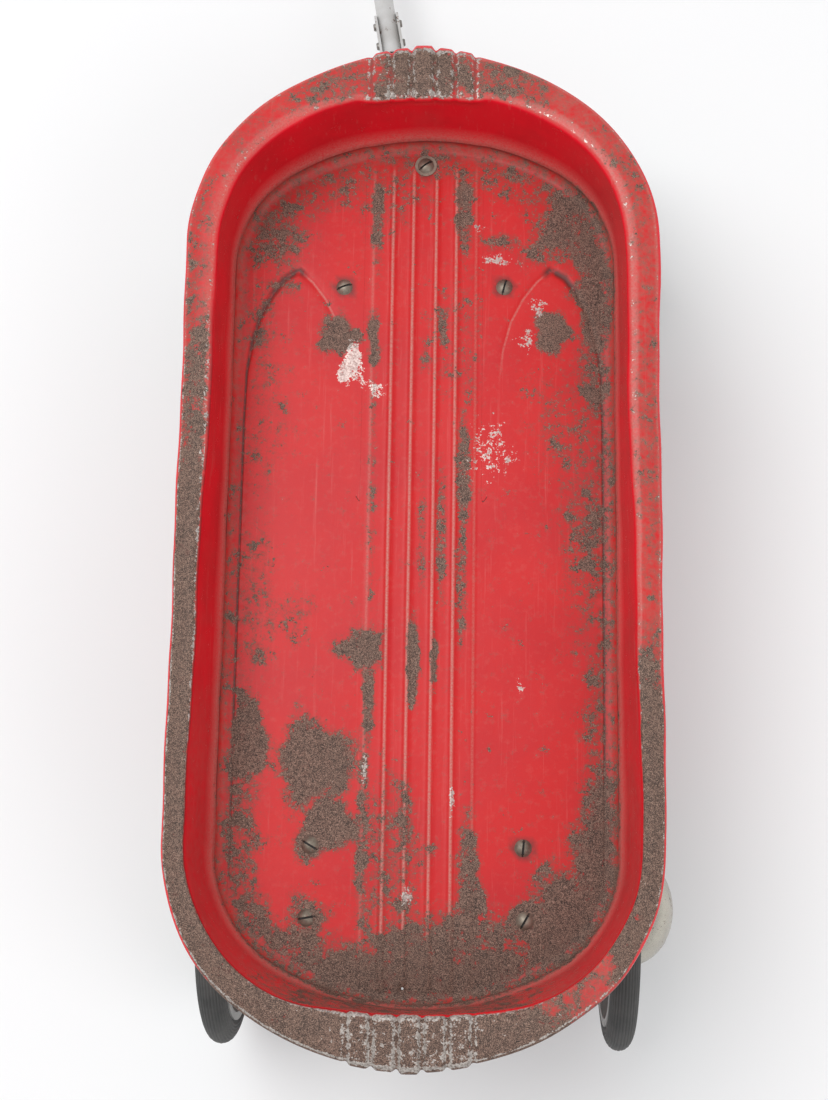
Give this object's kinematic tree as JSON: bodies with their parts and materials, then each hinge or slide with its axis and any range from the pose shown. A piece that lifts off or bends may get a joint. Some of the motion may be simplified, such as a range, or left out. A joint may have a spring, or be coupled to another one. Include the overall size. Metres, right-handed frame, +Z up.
{
  "type": "wagon with pull handle",
  "caption": "Oval pressed-steel coaster wagon on rubber-tyred disc wheels, steered and pulled by a pivoting handle with a loop grip.",
  "frame": {"origin": "bottom centre of the whole wagon's bounding box, on the ground, with the handle lying forward", "axes": "+Y forward to the handle, +X to the wagon's right, +Z up"},
  "size_m": [0.466, 1.6016, 0.366],
  "materials": {
    "red_enamel": "glossy enamel, worn through to brown rust in places",
    "grey_enamel": "satin grey enamel",
    "silver_paint": "aluminium-coloured paint, satin",
    "black_enamel": "worn black enamel",
    "tyre_rubber": "dull grey-black ribbed rubber",
    "nickel_plate": "polished nickel, slightly tarnished",
    "old_steel": "dull, slightly rusty steel",
    "plain_steel": "bare turned steel"
  },
  "bodies": {
    "wagon": {"front_floor_screws": "old_steel", "front_nuts": "old_steel", "front_plate": "black_enamel", "kingpin": "plain_steel", "kingpin_nut": "plain_steel", "kingpin_washer": "plain_steel", "nose_screw_washer": "old_steel", "rear_axle": "plain_steel", "rear_axle_spacers": "plain_steel", "rear_axle_washers": "plain_steel", "rear_cotter_pins": "plain_steel", "rear_floor_screws": "old_steel", "rear_leg_left": "black_enamel", "rear_leg_right": "black_enamel", "rear_nuts": "old_steel", "rear_plate": "black_enamel", "tub": "red_enamel"},
    "carriage": {"bearing_washer": "plain_steel", "drawbar": "black_enamel", "drawbar_brace_left": "black_enamel", "drawbar_brace_right": "black_enamel", "front_axle": "plain_steel", "front_axle_spacers": "plain_steel", "front_axle_washers": "plain_steel", "front_cotter_pins": "plain_steel", "front_leg_left": "black_enamel", "front_leg_right": "black_enamel", "turning_plate": "black_enamel"},
    "handle": {"grip": "silver_paint", "handle_rivets": "plain_steel", "pivot_bolt": "plain_steel", "pivot_nut": "plain_steel", "pole": "silver_paint", "strap_left": "silver_paint", "strap_right": "silver_paint"},
    "front_left_wheel": {"front_left_cap": "nickel_plate", "front_left_disc": "grey_enamel", "front_left_hub": "plain_steel", "front_left_tyre": "tyre_rubber"},
    "front_right_wheel": {"front_right_cap": "nickel_plate", "front_right_disc": "grey_enamel", "front_right_hub": "plain_steel", "front_right_tyre": "tyre_rubber"},
    "rear_left_wheel": {"rear_left_cap": "nickel_plate", "rear_left_disc": "grey_enamel", "rear_left_hub": "plain_steel", "rear_left_tyre": "tyre_rubber"},
    "rear_right_wheel": {"rear_right_cap": "nickel_plate", "rear_right_disc": "grey_enamel", "rear_right_hub": "plain_steel", "rear_right_tyre": "tyre_rubber"}
  },
  "joints": [
    {"name": "steering", "type": "hinge", "parent": "wagon", "child": "carriage", "pos_m": [0, -0.05785, 0.258], "axis": [0, 0, 1], "range_deg": [-44.5, 25.5]},
    {"name": "handle_lift", "type": "hinge", "parent": "carriage", "child": "handle", "pos_m": [-0.02839, 0.11179, 0.112], "axis": [0.9863, 0.165, 0], "range_deg": [0, 101]},
    {"name": "front_left_wheel_spin", "type": "hinge", "parent": "carriage", "child": "front_left_wheel", "pos_m": [-0.17852, -0.08773, 0.127], "axis": [0.9863, 0.165, 0], "continuous": true},
    {"name": "front_right_wheel_spin", "type": "hinge", "parent": "carriage", "child": "front_right_wheel", "pos_m": [0.17852, -0.02798, 0.127], "axis": [0.9863, 0.165, 0], "continuous": true},
    {"name": "rear_left_wheel_spin", "type": "hinge", "parent": "wagon", "child": "rear_left_wheel", "pos_m": [-0.181, -0.67385, 0.127], "axis": [1, 0, 0], "continuous": true},
    {"name": "rear_right_wheel_spin", "type": "hinge", "parent": "wagon", "child": "rear_right_wheel", "pos_m": [0.181, -0.67385, 0.127], "axis": [1, 0, 0], "continuous": true}
  ]
}
